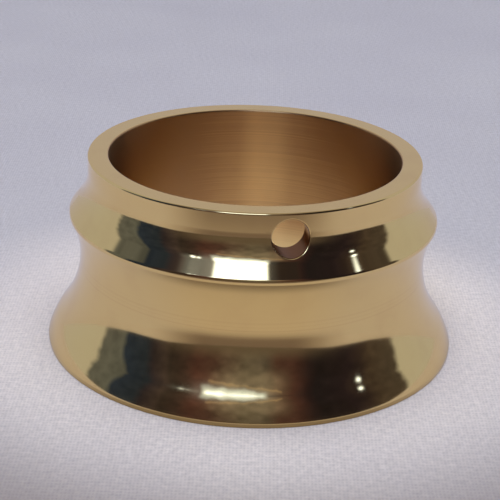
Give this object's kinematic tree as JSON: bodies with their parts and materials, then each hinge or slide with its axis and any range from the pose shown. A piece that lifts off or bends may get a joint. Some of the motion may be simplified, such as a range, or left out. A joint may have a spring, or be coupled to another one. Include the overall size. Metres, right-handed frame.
{
  "type": "guitar slide",
  "caption": "Ring-shaped guitar slide turned in one piece of polished brass, with a flared foot, a rounded bead, a straight finger bore and a small hole drilled through the neck.",
  "frame": {"origin": "centre of the flat foot face, on the ring's axis", "axes": "+Z along the ring's axis from the flared foot to the rim; the small side hole looks along -Y; +X to the right when facing the side hole"},
  "size_m": [0.03, 0.03, 0.014],
  "materials": {
    "polished_brass": "polished outside, satin with fine turning lines in the bore"
  },
  "bodies": {
    "root": {"slide_body": "polished_brass"}
  },
  "joints": []
}
